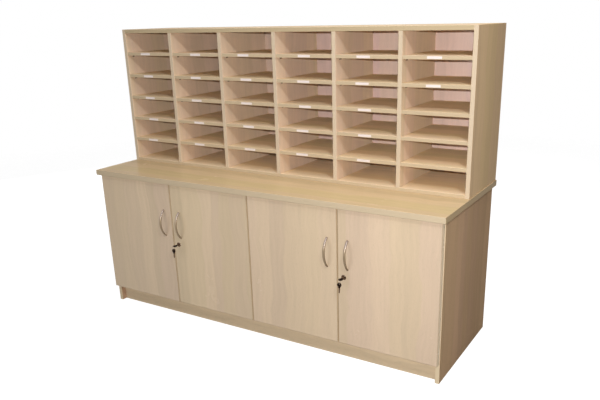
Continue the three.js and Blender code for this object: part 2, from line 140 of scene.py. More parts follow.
# Stage, in metres: the floor, and the place, target and size of each lamp
FLOOR_RADIUS = 7.0
FLOOR_FADE = (2.2, 5.5)
LAMPS = {
    "ceiling": ((2.3, -2.1, 2.95), (0.2, 0.0, 0.7), (0.1, 0.1)),
    "fill": ((1.66, -2.44, 1.455), (1.3, 0.0, 0.9), (0.02, 0.02)),
    "panel": ((-1.3, -3.8, 1.3), (0.2, 0.0, 1.0), (2.4, 1.8)),
    "overhead": ((0.6, -0.6, 3.2), (0.6, -0.2, 0.0), (2.0, 2.0)),
    "rear": ((-1.2, 3.6, 2.4), (0.0, 0.3, 0.7), (1.6, 1.6)),
    "side": ((-3.8, 1.6, 0.48), (-0.9, 0.1, 0.6), (1.6, 0.4)),
}

# Sockets of a node that mixes colours, and the angle over which a mesh's edge stays sharp
MIX_COLOURS = (6, 7)
MIX_RESULT = 2
SHARP_ANGLE = math.radians(38)


def setting(name, description, default, **options):
    """A property that holds a number or a row of numbers."""
    kind = FloatVectorProperty if isinstance(default, tuple) else FloatProperty
    return kind(name=name, description=description, default=default, **options)


def length(name, description, millimetres):
    """A size, given in millimetres and kept in metres."""
    return setting(name, description, millimetres * MM, precision=5, unit="LENGTH")


def colour(name, description, rgb):
    """A colour, in linear values."""
    return setting(name, description, rgb, size=3, min=0.0, max=1.0, subtype="COLOR")


def share(name, description, value):
    """A number from 0 to 1."""
    return setting(name, description, value, min=0.0, max=1.0, subtype="FACTOR")


def turn(name, description, degrees):
    """An angle, given in degrees."""
    return setting(name, description, math.radians(degrees), subtype="ANGLE")


def watts(name, description, value):
    """The power of a lamp."""
    return setting(name, description, value, min=0.0, subtype="POWER")


class BoardLooks(bpy.types.PropertyGroup):
    """Colours and figure of the melamine boards."""

    side: colour("Rack side", "Right side of the rack, a little yellower", (0.755, 0.545, 0.32))
    divider: colour("Dividers", "Dividers and left side of the rack", (0.745, 0.585, 0.432))
    shelf: colour("Shelves", "Shelves, top and bottom of the rack", (0.835, 0.67, 0.455))
    back: colour("Back", "Pinkish back panel of the rack", (0.735, 0.565, 0.5))
    upright_edge: colour("Upright edge", "Front band of the rack's uprights", (0.55, 0.44, 0.315))
    shelf_edge: colour("Shelf edge", "Front band of the rack's shelves", (0.495, 0.385, 0.252))
    top_edge: colour("Top edge", "Front band of the rack's top", (0.44, 0.345, 0.215))
    worktop: colour("Worktop", "Worktop, a little yellower", (0.65, 0.496, 0.293))
    worktop_edge: colour("Worktop edge", "Front band of the worktop", (0.51, 0.407, 0.277))
    worktop_end: colour("Worktop end", "Browner bands on the worktop's ends", (0.5, 0.355, 0.19))
    door: colour("Doors", "Fronts of the doors", (0.585, 0.455, 0.322))
    door_end: colour("Door end", "Bands on the doors' upright edges", (0.66, 0.49, 0.3))
    # Painted shade: the doors' edge bands are darkened to stand in for the shade in the gaps between doors
    door_band_and_gap_shade: colour("Door band", "Browner fronts of the doors' edge bands", (0.35, 0.26, 0.165))
    base: colour("Cupboard", "Sides and inside of the cupboard", (0.58, 0.385, 0.245))
    base_edge: colour("Cupboard edge", "Front band of the cupboard's boards", (0.66, 0.525, 0.35))
    plinth: colour("Plinth", "Plinth under the doors", (0.62, 0.49, 0.325))
    figure: share("Figure", "How far the grain lightens and darkens a board", 0.13)
    fleck: share("Fleck", "How strongly the beech flecks show", 0.22)
    tint: share("Tint", "How far planks differ between yellow and pink", 0.04)
    seed: setting("Seed", "Chooses other planks for all boards", 0.37)
    side_seed: setting("Side seed", "Chooses other planks for the rack's right side", 0.69)
    plank: length("Plank width", "Width of the decor's planks", 78)
    band: length("Band", "Thickness of the doors' edge bands", 3)
    roughness: share("Roughness", "Sheen of the melamine", 0.22)


class HardwareSizes(bpy.types.PropertyGroup):
    """Sizes and colours of the handles, hinges, locks and keys."""

    handle_centres: length("Handle centres", "Distance between the feet of a bow handle", 128)
    handle_rise: length("Handle rise", "How far a bow stands off the door", 29)
    handle_width: length("Handle width", "Width of the bow", 10)
    handle_thickness: length("Handle thickness", "Thickness of the bow", 8)
    screw_head: length("Screw head", "Diameter of a hinge screw's head", 7)
    link_width: length("Link width", "Width of a hinge link", 5)
    link_thickness: length("Link thickness", "Thickness of a hinge link", 2.4)
    key_head: length("Key head", "Diameter of a key's plastic head", 18.6)
    key_thickness: length("Key thickness", "Thickness of a key's plastic head", 3.6)
    key_neck: length("Key neck", "Width of the neck that grips the blade", 9)
    key_neck_reach: length("Neck reach", "From the middle of the head to the neck's end", 14)
    key_blade: length("Key blade", "Width of a key's blade", 5.4)
    key_blade_thickness: length("Blade thickness", "Thickness of a key's blade", 2)
    ring_wire: length("Ring wire", "Diameter of the split ring's wire", 0.9)
    # Painted reflections on the handles: the dark metal colour stands in for the reflection of a dark
    # floor, and the paler colour where they face up is a painted highlight
    handle_metal_and_dark_reflection: colour("Handle metal", "Satin plating of the handles", (0.23, 0.172, 0.11))
    handle_painted_highlight: colour("Handle sheen", "Handles where they look up to the light", (0.3, 0.245, 0.215))
    nickel: colour("Nickel", "Plating of the hinges, studs and rings", (0.34, 0.3, 0.24))
    # Painted reflections on the locks and key blades: the very dark colour stands in for the reflection of
    # a dark floor, and the paler colour where they face up is a painted highlight
    lock_metal_and_dark_reflection: colour("Lock metal", "Plating of the locks and key blades", (0.1, 0.058, 0.033))
    lock_painted_highlight: colour("Lock sheen", "Locks where they look up to the light", (0.4, 0.33, 0.26))
    key_plastic: colour("Key plastic", "Plastic of the key heads", (0.011, 0.005, 0.003))


class LabelSizes(bpy.types.PropertyGroup):
    """Blank label strips on the front edges of the rack's shelves."""

    width: length("Width", "Length of a label along the shelf", 60)
    height: length("Height", "Height of a label", 10)
    thickness: length("Thickness", "Thickness of a label", 0.5)
    corner: length("Corner", "Radius of a label's corners", 1.2)
    paper: colour("Paper", "Colour of the label", (0.70, 0.61, 0.57))


class StudSizes(bpy.types.PropertyGroup):
    """Pins that carry the shelves."""

    diameter: length("Diameter", "Diameter of a rack shelf's pin", 5)
    proud: length("Proud", "How far a pin stands out of the board", 8)
    collar: length("Collar", "Diameter of the collar against the board", 8)
    setback: length("Setback", "From a shelf's front or back edge to its pin", 36)
    sleeve: length("Sleeve", "Diameter of a cupboard stud's sleeve", 7.4)
    sleeve_inset: length("Sleeve inset", "From a cupboard shelf's edge to its stud", 60)
    bronze: colour("Bronze", "Plating of the rack's pins", (0.2, 0.14, 0.085))


class StageLooks(bpy.types.PropertyGroup):
    """Camera, floor and light."""

    camera_place: setting("Camera", "Place of the camera", (1.6494, -2.438, 1.3932), subtype="TRANSLATION")
    yaw: turn("Yaw", "Turn of the camera to the left", 31.03)
    pitch: turn("Pitch", "Tilt of the camera", -19.22)
    roll: turn("Roll", "Roll of the camera", 1.32)
    focal: setting("Focal length", "Focal length of the lens in pixels", 650.6)
    centre_x: setting("Centre across", "Pixel that the lens axis meets, from the left", 317.8)
    centre_y: setting("Centre down", "Pixel that the lens axis meets, from the top", 243.1)
    floor: colour("Floor", "Colour of the floor", (0.3, 0.3, 0.3))
    glow: share("Glow", "How far the floor shows white without light", 0.9)
    sky: share("Sky", "Level of the light from all round", 0.03)
    ceiling: watts("Ceiling", "Ceiling lamp to the right of the middle", 34.0)
    fill: watts("Fill", "Small lamp beside the camera", 55.0)
    panel: watts("Panel", "Broad lamp at the front left", 40.0)
    overhead: watts("Overhead", "Broad lamp over the object", 38.0)
    rear: watts("Rear", "Broad lamp behind the object", 70.0)
    side: watts("Side", "Broad lamp at the back left", 40.0)


SETTINGS = {
    "sorter_boards": BoardLooks,
    "sorter_hardware": HardwareSizes,
    "sorter_labels": LabelSizes,
    "sorter_studs": StudSizes,
    "sorter_stage": StageLooks,
}


# Shader nodes


def connect(tree, socket, value):
    """Links a socket to the one that feeds it, or sets its value."""
    if isinstance(value, bpy.types.NodeSocket):
        tree.links.new(value, socket)
    else:
        socket.default_value = value


def node(tree, kind, inputs=None, **options):
    """Adds a shader node, sets its options, and links or sets its inputs by name or number."""
    made = tree.nodes.new("ShaderNode" + kind)
    for name, value in options.items():
        setattr(made, name, value)
    for name, value in (inputs or {}).items():
        connect(tree, made.inputs[name], value)
    return made


def node_of_type(tree, kind):
    """The node of a type that a new node tree comes with."""
    return next(n for n in tree.nodes if n.type == kind)


def math_node(tree, operation, first, second=0.0, third=0.0):
    """The result of a Math node."""
    return node(tree, "Math", {0: first, 1: second, 2: third}, operation=operation).outputs[0]


def mix_colours(tree, factor, first, second, blend="MIX"):
    """The colour between two colours."""
    inputs = {0: factor}
    for slot, value in zip(MIX_COLOURS, (first, second)):
        inputs[slot] = value if isinstance(value, bpy.types.NodeSocket) else (*value[:3], 1.0)
    return node(tree, "Mix", inputs, data_type="RGBA", blend_type=blend).outputs[MIX_RESULT]


def remap(tree, value, low, high, to_low=0.0, to_high=1.0):
    """A value taken from one range to another, and held there."""
    inputs = {"Value": value, "From Min": low, "From Max": high, "To Min": to_low, "To Max": to_high}
    return node(tree, "MapRange", inputs).outputs[0]


def noise(tree, vector, scale, detail=2.0, rough=0.5):
    """The value of a noise texture."""
    inputs = {"Vector": vector, "Scale": scale, "Detail": detail, "Roughness": rough}
    return node(tree, "TexNoise", inputs).outputs["Fac"]


def axes(tree, vector):
    """The three values of a vector."""
    return node(tree, "SeparateXYZ", {0: vector}).outputs


def combine(tree, x, y, z):
    """A vector of three values."""
    return node(tree, "CombineXYZ", {0: x, 1: y, 2: z}).outputs[0]


def new_group(name, vectors, values, results):
    """A new shader node group, the sockets that it takes and the sockets that it gives."""
    group = bpy.data.node_groups.new(name, "ShaderNodeTree")
    sockets = (("INPUT", "Vector", vectors), ("INPUT", "Float", values), ("OUTPUT", "Float", results))
    for direction, kind, names in sockets:
        for socket in names:
            group.interface.new_socket(name=socket, in_out=direction, socket_type="NodeSocket" + kind)
    taken = group.nodes.new("NodeGroupInput").outputs
    given = group.nodes.new("NodeGroupOutput").inputs
    return group, taken, given


def give(group, given, **results):
    """Links a group's results to its output sockets."""
    for name, value in results.items():
        group.links.new(value, given[name])


def use_group(tree, name, make, inputs):
    """Places a group, made the first time that it is asked for, and returns its outputs."""
    group = bpy.data.node_groups.get(name) or make(name)
    return node(tree, "Group", inputs, node_tree=group).outputs


def beech_figure(name):
    """Beech decor with its grain along Z: planks, streaks and short flecks, each board with its own."""
    results = ["Tone", "Tint", "Fleck", "Height"]
    group, taken, given = new_group(name, ["Vector"], ["Board", "Plank"], results)
    parts = axes(group, taken["Vector"])
    along = parts["Z"]
    shift = math_node(group, "MULTIPLY", taken["Board"], BOARD_STEP)
    across = math_node(group, "ADD", math_node(group, "ADD", parts["X"], parts["Y"]), shift)
    slow = math_node(group, "MULTIPLY", along, SWAY_STRETCH)
    sway = noise(group, combine(group, across, shift, slow), SWAY_SCALE)
    across = math_node(group, "MULTIPLY_ADD", sway, SWAY_REACH, across)
    place = math_node(group, "DIVIDE", across, taken["Plank"])
    inputs = {"W": place, "Scale": 1.0, "Smoothness": PLANK_SOFTNESS}
    planks = node(group, "TexVoronoi", inputs, voronoi_dimensions="1D", feature="SMOOTH_F1")
    plank, tint, _ = node(group, "SeparateColor", {0: planks.outputs["Color"]}).outputs

    def grain(across_scale, along_scale, detail):
        """Noise that is stretched along the grain."""
        wide = math_node(group, "MULTIPLY", across, across_scale)
        long = math_node(group, "MULTIPLY", along, along_scale)
        return noise(group, combine(group, wide, shift, long), scale=1.0, detail=detail, rough=0.6)

    streak = grain(across_scale=55.0, along_scale=3.0, detail=4.0)
    fine = grain(across_scale=420.0, along_scale=12.0, detail=3.0)
    fleck = remap(group, grain(across_scale=700.0, along_scale=75.0, detail=1.0), low=0.60, high=0.72)
    middle = 0.5
    tone = middle
    for layer, weight in ((plank, 0.55), (streak, 0.85), (fine, 0.3)):
        centred = math_node(group, "SUBTRACT", layer, middle)
        tone = math_node(group, "MULTIPLY_ADD", centred, weight, tone)
    pores = math_node(group, "MULTIPLY", fleck, 0.5)
    height = math_node(group, "SUBTRACT", fine, pores)
    give(group, given, Tone=tone, Tint=tint, Fleck=fleck, Height=height)
    return group


def edge_bands(name):
    """Masks of the faces that look to the front or to a side, and of strips along the upright edges."""
    vectors, results = ["Normal", "Generated"], ["Front", "End", "Strip"]
    group, taken, given = new_group(name, vectors, ["Strip"], results)
    parts = axes(group, taken["Normal"])
    sideways = math_node(group, "ABSOLUTE", parts["X"])
    across = axes(group, taken["Generated"])["X"]
    inward = math_node(group, "MINIMUM", across, math_node(group, "SUBTRACT", 1.0, across))
    strip = math_node(group, "LESS_THAN", inward, taken["Strip"])
    front = remap(group, parts["Y"], low=-0.55, high=-0.8)
    end = remap(group, sideways, low=0.55, high=0.8)
    give(group, given, Front=front, End=end, Strip=strip)
    return group


def handling(name):
    """Marks of use: soft smudges all over, and scuffs that gather near the floor."""
    group, taken, given = new_group(name, ["Vector"], [], ["Smudge", "Scuff"])
    clouds = noise(group, taken["Vector"], scale=5.5, detail=4.0, rough=0.6)
    smudge = remap(group, clouds, low=0.35, high=0.7)
    near_floor = remap(group, axes(group, taken["Vector"])["Z"], low=0.12, high=0.0)
    stretch = {"Vector": taken["Vector"], "Scale": (14.0, 14.0, 60.0)}
    place = node(group, "Mapping", stretch).outputs[0]
    streaks = noise(group, place, scale=1.0, detail=5.0, rough=0.7)
    marks = remap(group, streaks, low=0.52, high=0.7)
    give(group, given, Smudge=smudge, Scuff=math_node(group, "MULTIPLY", near_floor, marks))
    return group


def plating(name):
    """Satin plating: fine lines along one axis and a cloudy sheen."""
    group, taken, given = new_group(name, ["Vector"], [], ["Cloud", "Lines"])
    cloud = noise(group, taken["Vector"], scale=160.0, detail=3.0)
    stretch = {"Vector": taken["Vector"], "Scale": (5200.0, 5200.0, 260.0)}
    lines = noise(group, node(group, "Mapping", stretch).outputs[0], scale=1.0)
    give(group, given, Cloud=cloud, Lines=lines)
    return group


# Materials


def blank_material(name):
    """A new material with its node tree and its Principled shader."""
    material = bpy.data.materials.new(name)
    material.use_nodes = True
    tree = material.node_tree
    return material, tree, node_of_type(tree, "BSDF_PRINCIPLED")


def feed(tree, made, **sockets):
    """Links or sets a node's sockets, named with underscores for spaces."""
    for name, value in sockets.items():
        connect(tree, made.inputs[name.replace("_", " ")], value)


def bump(tree, height, strength, distance):
    """The normal of a surface that a height makes uneven."""
    return node(tree, "Bump", {"Height": height, "Strength": strength, "Distance": distance}).outputs[0]


def shaded(rgb, factor):
    """A colour made lighter or darker."""
    return tuple(min(1.0, value * factor) for value in rgb)


def shades(tree, factor, rgb, darkest, lightest):
    """A colour between two shades of itself."""
    return mix_colours(tree, factor, shaded(rgb, darkest), shaded(rgb, lightest))


def melamine(
    name, looks, rgb, upright=True, front=None, end=None, strip=None, scuffed=False, mirror=0.0, seed=0.0
):
    """Melamine board with beech decor: its grain runs up the board or along it, with bands on its edges.

    A strip is the colour of a strip along the upright edges, and its share of the board's width; the doors
    give it their edge bands' colour, darkened as painted shade of the gaps between them.
    """
    material, tree, shader = blank_material(name)
    coords = node(tree, "TexCoord").outputs
    parts = axes(tree, coords["Object"])
    turned = coords["Object"] if upright else combine(tree, parts["Y"], parts["Z"], parts["X"])
    board = math_node(tree, "ADD", node(tree, "ObjectInfo").outputs["Random"], looks.seed + seed)
    decor = {"Vector": turned, "Board": board, "Plank": looks.plank}
    figure = use_group(tree, "Beech figure", beech_figure, decor)
    marks = use_group(tree, "Handling", handling, {"Vector": coords["Object"]})
    surface = shades(tree, figure["Tone"], rgb, 1 - looks.figure, 1 + looks.figure)
    yellow, pink = (1.0, 1.0, 1.0 - 2 * looks.tint), (1.0, 1.0 - looks.tint, 1.0)
    tint = mix_colours(tree, figure["Tint"], yellow, pink)
    surface = mix_colours(tree, 1.0, surface, tint, "MULTIPLY")
    flecks = math_node(tree, "MULTIPLY", figure["Fleck"], looks.fleck)
    surface = mix_colours(tree, flecks, surface, shaded(rgb, FLECK_SHADE))
    strip_rgb, strip_share = strip or (None, 0.0)
    edges = {"Normal": coords["Normal"], "Generated": coords["Generated"], "Strip": strip_share}
    masks = use_group(tree, "Edge bands", edge_bands, edges)
    # Bands on the edges; the doors' strip band is darkened as painted shade of the gaps between doors
    for mask, edge in (("Front", front), ("Strip", strip_rgb), ("End", end)):
        if edge:
            band = shades(tree, figure["Tone"], edge, darkest=0.95, lightest=1.05)
            surface = mix_colours(tree, masks[mask], surface, band)
    if scuffed:
        scuffs = math_node(tree, "MULTIPLY", marks["Scuff"], SCUFF_SHARE)
        surface = mix_colours(tree, scuffs, surface, shaded(rgb, SCUFF_SHADE))
    glossiest, dullest = looks.roughness - 0.03, looks.roughness + 0.06
    sheen = remap(tree, marks["Smudge"], 0.0, 1.0, glossiest, dullest)
    pores = bump(tree, figure["Height"], strength=0.12, distance=0.2 * MM)
    feed(tree, shader, Base_Color=surface, Roughness=sheen, Normal=pores, Specular_IOR_Level=mirror)
    return material


def plated_metal(name, rgb, upper=None, roughness=0.3):
    """Plated metal with a satin sheen, made once; where upper is given, a painted highlight in that paler
    colour where it faces up.
    """
    if name in bpy.data.materials:
        return bpy.data.materials[name]
    material, tree, shader = blank_material(name)
    coords = node(tree, "TexCoord").outputs
    finish = use_group(tree, "Plating", plating, {"Vector": coords["Object"]})
    surface = shades(tree, finish["Cloud"], rgb, darkest=0.88, lightest=1.1)
    # Painted highlight: where upper is given, the colour turns to it where the normal faces up, in place
    # of the ceiling light's reflection
    if upper:
        height = axes(tree, coords["Normal"])["Z"]
        surface = mix_colours(tree, remap(tree, height, low=0.2, high=0.5), surface, upper)
    glossiest, dullest = roughness - 0.05, roughness + 0.07
    sheen = remap(tree, finish["Cloud"], 0.2, 0.8, glossiest, dullest)
    lines = bump(tree, finish["Lines"], strength=0.08, distance=0.05 * MM)
    feed(tree, shader, Base_Color=surface, Roughness=sheen, Normal=lines, Metallic=1.0)
    return material


def moulded_plastic(name, rgb):
    """Plastic with a fine moulded texture."""
    material, tree, shader = blank_material(name)
    place = node(tree, "TexCoord").outputs["Object"]
    fine = noise(tree, place, scale=2400.0)
    broad = noise(tree, place, scale=130.0, detail=3.0)
    surface = shades(tree, broad, rgb, darkest=0.8, lightest=1.5)
    sheen = remap(tree, broad, low=0.2, high=0.8, to_low=0.5, to_high=0.62)
    grain = bump(tree, fine, strength=0.2, distance=0.1 * MM)
    feed(tree, shader, Base_Color=surface, Roughness=sheen, Normal=grain, Specular_IOR_Level=0.05)
    return material


def label_paper(name, rgb):
    """Smooth white paper, faintly mottled and a little yellowed."""
    material, tree, shader = blank_material(name)
    place = node(tree, "TexCoord").outputs["Object"]
    fibre = noise(tree, place, scale=900.0, detail=4.0, rough=0.65)
    age = noise(tree, place, scale=14.0)
    surface = shades(tree, fibre, rgb, darkest=0.96, lightest=1.04)
    yellowed = tuple(value * tint for value, tint in zip(rgb, (1.0, 0.96, 0.88)))
    aged = remap(tree, age, low=0.45, high=0.8, to_low=0.0, to_high=0.6)
    surface = mix_colours(tree, aged, surface, yellowed)
    sheen = remap(tree, fibre, low=0.2, high=0.8, to_low=0.5, to_high=0.65)
    grain = bump(tree, fibre, strength=0.1, distance=0.1 * MM)
    feed(tree, shader, Base_Color=surface, Roughness=sheen, Normal=grain)
    return material


def nickel_plate(hardware):
    """The finish of hinges, studs and rings."""
    return plated_metal("Nickel plate", hardware.nickel, roughness=0.26)


def lock_plate_with_painted_reflections(hardware):
    """The finish of locks and key blades, dark as a painted reflection, with a painted highlight where
    they face up.
    """
    return plated_metal("Lock plate", hardware.lock_metal_and_dark_reflection, hardware.lock_painted_highlight)


def dress(names, material):
    """Gives CAD nodes their material."""
    for name in names:
        board = frame["nodes"][name]
        board.data.materials.clear()
        board.data.materials.append(material)


# Meshes


def circle(radius, steps, height=0.0):
    """Points of a circle in the XY plane."""
    angles = [2 * math.pi * step / steps for step in range(steps)]
    return [(radius * math.cos(a), radius * math.sin(a), height) for a in angles]


def rounded_rectangle(width, height, corner, depth, steps=4):
    """Points of a rectangle with round corners in the XY plane."""
    points = []
    for quarter, (x, y) in enumerate(((1, 1), (-1, 1), (-1, -1), (1, -1))):
        middle = (x * (width / 2 - corner), y * (height / 2 - corner))
        for step in range(steps + 1):
            a = math.pi / 2 * (quarter + step / steps)
            points.append((middle[0] + corner * math.cos(a), middle[1] + corner * math.sin(a), depth))
    return points


def skin(bm, loops, matrix, closed=False, capped=True):
    """Joins loops of as many points each by quads.

    A closed skin runs back to its first loop, and an open one is capped at both ends.
    """
    rows = [[bm.verts.new(matrix @ Vector(point)) for point in loop] for loop in loops]
    pairs = list(zip(rows, rows[1:]))
    if closed:
        pairs.append((rows[-1], rows[0]))
    for low, high in pairs:
        for i in range(len(low)):
            j = (i + 1) % len(low)
            bm.faces.new((low[i], low[j], high[j], high[i]))
    if capped and not closed:
        bm.faces.new(list(reversed(rows[0])))
        bm.faces.new(rows[-1])
    return rows


def mesh_of(name, bm):
    """A mesh made of a bmesh, which is freed."""
    mesh = bpy.data.meshes.new(name)
    bm.to_mesh(mesh)
    bm.free()
    return mesh


def new_object(name, data):
    """An object in the scene."""
    made = bpy.data.objects.new(name, data)
    bpy.context.scene.collection.objects.link(made)
    return made


def add_piece(name, bm, body, material):
    """Makes a piece of a mesh, smooth but for its sharp edges, and lets it ride on a body."""
    bmesh.ops.recalc_face_normals(bm, faces=bm.faces)
    mesh = mesh_of(name, bm)
    mesh.materials.append(material)
    mesh.shade_smooth()
    mesh.set_sharp_from_angle(angle=SHARP_ANGLE)
    piece = new_object(name, mesh)
    if body:
        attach(piece, body)
    return piece


def facing(direction, place):
    """A matrix whose Z axis points in a direction, from a place."""
    return Matrix.Translation(place) @ Vector(direction).to_track_quat("Z", "Y").to_matrix().to_4x4()


def spans(name):
    """The low and high corner of a node's box, and its middle."""
    low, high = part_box(name)
    return low, high, (low + high) / 2


def pigeonhole_columns():
    """The left and right wall of each column of pigeonholes."""
    faces = [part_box(board) for board in RACK_UPRIGHTS]
    return [(left[1].x, right[0].x) for left, right in zip(faces, faces[1:])]


def add_screw(bm, place, direction, head, steps=24):
    """A countersunk screw's head, with a cross recess."""
    matrix = facing(direction, place)
    radius = head / 2
    rim = [(1.0, 0.0), (1.0, 0.10), (0.82, 0.16), (0.62, 0.17)]
    rows = skin(bm, [circle(radius * r, steps, head * h) for r, h in rim], matrix, capped=False)
    bm.faces.new(list(reversed(rows[0])))
    arm, half, depth = radius * 0.5, radius * 0.13, head * 0.12
    quarter = [(arm, -half), (arm, half), (half, half)]
    cross = []
    for quarters in range(4):
        spin = Matrix.Rotation(quarters * math.pi / 2, 2)
        cross += [(*(spin @ Vector(point)), head * rim[-1][1]) for point in quarter]
    deep = [(x, y, z - depth) for x, y, z in cross]
    recess = skin(bm, [cross, deep], matrix, capped=False)
    bm.faces.new(recess[1])
    edges = []
    for row in (rows[-1], recess[0]):
        edges += [bm.edges.get(pair) for pair in zip(row, row[1:] + row[:1])]
    bmesh.ops.bridge_loops(bm, edges=edges)


class SorterOperator:
    """What the sorter's operators share."""

    bl_options = {"REGISTER", "UNDO"}


class SORTER_OT_rack(SorterOperator, bpy.types.Operator):
    """Finish the boards of the pigeonhole rack"""

    bl_idname = "sorter.rack"
    bl_label = "Rack boards"

    def execute(self, context):
        looks = context.scene.sorter_boards
        side = melamine("Rack side", looks, looks.side, front=looks.upright_edge, seed=looks.side_seed)
        divider = melamine("Rack divider", looks, looks.divider, front=looks.upright_edge)
        shelf = melamine("Rack shelf", looks, looks.shelf, upright=False, front=looks.shelf_edge)
        top = melamine("Rack top", looks, looks.shelf, upright=False, front=looks.top_edge)
        back = melamine("Rack back", looks, looks.back, mirror=0.16)
        dress(["rack_right_side"], side)
        dress(["rack_left_side", *DIVIDERS], divider)
        dress(["rack_top"], top)
        dress(["rack_bottom", *RACK_SHELVES], shelf)
        dress(["rack_back"], back)
        return {"FINISHED"}


class SORTER_OT_cupboard(SorterOperator, bpy.types.Operator):
    """Finish the worktop, the cupboard's boards and the plinth"""

    bl_idname = "sorter.cupboard"
    bl_label = "Cupboard boards"

    def execute(self, context):
        looks = context.scene.sorter_boards
        ends = {"front": looks.worktop_edge, "end": looks.worktop_end}
        worktop = melamine("Worktop", looks, looks.worktop, upright=False, mirror=0.01, **ends)
        upright = melamine("Cupboard upright", looks, looks.base, front=looks.base_edge, scuffed=True)
        level = melamine("Cupboard level", looks, looks.base, upright=False, front=looks.base_edge)
        plinth = melamine("Plinth board", looks, looks.plinth, upright=False, scuffed=True)
        dress(["worktop"], worktop)
        dress(["base_left_side", "base_right_side", "base_partition", "base_back"], upright)
        dress(["base_deck", "top_rail", "cupboard_shelf_left", "cupboard_shelf_right"], level)
        dress(["plinth", "plinth_stretcher"], plinth)
        return {"FINISHED"}


class SORTER_OT_doors(SorterOperator, bpy.types.Operator):
    """Finish the doors"""

    bl_idname = "sorter.doors"
    bl_label = "Doors"

    def execute(self, context):
        looks = context.scene.sorter_boards
        low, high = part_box("door_1")
        # A strip along each upright edge in the edge band's colour, darkened as painted shade of the gaps
        # between doors
        strip = (looks.door_band_and_gap_shade, looks.band / (high.x - low.x))
        board = melamine("Door board", looks, looks.door, end=looks.door_end, strip=strip, mirror=0.3)
        dress(DOORS, board)
        return {"FINISHED"}


class SORTER_OT_labels(SorterOperator, bpy.types.Operator):
    """Stick blank labels on the front edges of the rack's shelves"""

    bl_idname = "sorter.labels"
    bl_label = "Labels"

    def execute(self, context):
        sizes = context.scene.sorter_labels
        paper = label_paper("Label paper", sizes.paper)
        columns = pigeonhole_columns()
        eased = sizes.thickness / 2
        outlines = [
            rounded_rectangle(sizes.width - inset, sizes.height - inset, sizes.corner - inset, depth)
            for inset, depth in ((0.0, 0.0), (0.0, sizes.thickness - eased), (eased, sizes.thickness))
        ]
        for row, (shelf, offsets) in enumerate(zip(RACK_SHELVES, LABEL_OFFSETS), 1):
            low, _, middle = spans(shelf)
            bm = bmesh.new()
            for (left, right), offset in zip(columns, offsets):
                place = ((left + right) / 2 + offset * MM, low.y, middle.z)
                skin(bm, outlines, Matrix.Translation(place) @ Matrix.Rotation(math.pi / 2, 4, "X"))
            add_piece(f"labels_row_{row}", bm, "carcass", paper)
        return {"FINISHED"}


class SORTER_OT_studs(SorterOperator, bpy.types.Operator):
    """Set the pins under the rack's shelves, and sleeves on the studs of the cupboard's shelves"""

    bl_idname = "sorter.studs"
    bl_label = "Shelf studs"

    def execute(self, context):
        sizes = context.scene.sorter_studs
        bronze = plated_metal("Bronze plate", sizes.bronze)
        radius, collar = sizes.diameter / 2, sizes.collar / 2
        pin = [(collar, 0.0), (collar, PIN_RIM), (collar - PIN_COLLAR + PIN_RIM, PIN_COLLAR)]
        pin += [(radius, PIN_COLLAR), *self.tip(radius, sizes.proud)]
        for row, shelf in enumerate(RACK_SHELVES, 1):
            bm = bmesh.new()
            for walls in pigeonhole_columns():
                self.carry(bm, pin, shelf, walls, sizes.setback)
            add_piece(f"shelf_pins_row_{row}", bm, "carcass", bronze)
        self.sleeves(sizes, nickel_plate(context.scene.sorter_hardware))
        return {"FINISHED"}

    def sleeves(self, sizes, nickel):
        """Sleeves over the studs that carry the cupboard's shelves."""
        radius = sizes.sleeve / 2
        sleeve = [(radius, 0.0), *self.tip(radius, SLEEVE_REACH)]
        bm = bmesh.new()
        for side in SIDES:
            shelf = f"cupboard_shelf_{side}"
            low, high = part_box(shelf)
            walls = (low.x - SLEEVE_GAP, high.x + SLEEVE_GAP)
            self.carry(bm, sleeve, shelf, walls, sizes.sleeve_inset)
        add_piece("cupboard_stud_sleeves", bm, "carcass", nickel)

    def tip(self, radius, reach):
        """The chamfered end of a stud's profile, as radius and height."""
        return [(radius, reach - PIN_CHAMFER), (radius - PIN_CHAMFER, reach)]

    def carry(self, bm, profile, shelf, walls, setback, steps=20):
        """Two turned studs in each of two walls, right under a shelf."""
        low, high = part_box(shelf)
        z = low.z - profile[0][0]
        loops = [circle(radius, steps, height) for radius, height in profile]
        for wall, inward in zip(walls, (1, -1)):
            for y in (low.y + setback, high.y - setback):
                skin(bm, loops, facing((inward, 0, 0), (wall, y, z)))


class SORTER_OT_handles(SorterOperator, bpy.types.Operator):
    """Model the bow handles"""

    bl_idname = "sorter.handles"
    bl_label = "Bow handles"

    def execute(self, context):
        sizes = context.scene.sorter_hardware
        # Painted reflections: dark below, with a painted highlight where the bow faces up
        metal = plated_metal("Satin chrome", sizes.handle_metal_and_dark_reflection, sizes.handle_painted_highlight, roughness=0.4)
        for number, door in enumerate(DOORS, 1):
            bm = bmesh.new()
            _, high, middle = spans(f"handle_{number}")
            skin(bm, self.bow(sizes), Matrix.Translation((middle.x, high.y, middle.z)))
            handle = add_piece(f"bow_handle_{number}", bm, door, metal)
            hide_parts(f"handle_{number}")
        return {"FINISHED"}

    def bow(self, sizes, steps=44, sides=20):
        """Sections along the bow, a little slimmer at its feet, where they end flat on the door."""
        half = sizes.handle_centres / 2
        radius = (half**2 + sizes.handle_rise**2) / (2 * sizes.handle_rise)
        reach = math.asin(half / radius)
        centre_y = radius - sizes.handle_rise
        loops = []
        for step in range(steps + 1):
            angle = reach * (2 * step / steps - 1)
            slim = 1 - BOW_SLIMMING * abs(angle / reach) ** 3
            loop = []
            for side in range(sides):
                a = 2 * math.pi * side / sides
                across = sizes.handle_width / 2 * slim * math.cos(a)
                out = radius + sizes.handle_thickness / 2 * slim * math.sin(a)
                y, z = centre_y - out * math.cos(angle), out * math.sin(angle)
                if step in (0, steps):
                    z += y / math.tan(angle)
                    y = 0.0
                loop.append((across, min(y, 0.0), z))
            loops.append(loop)
        return loops


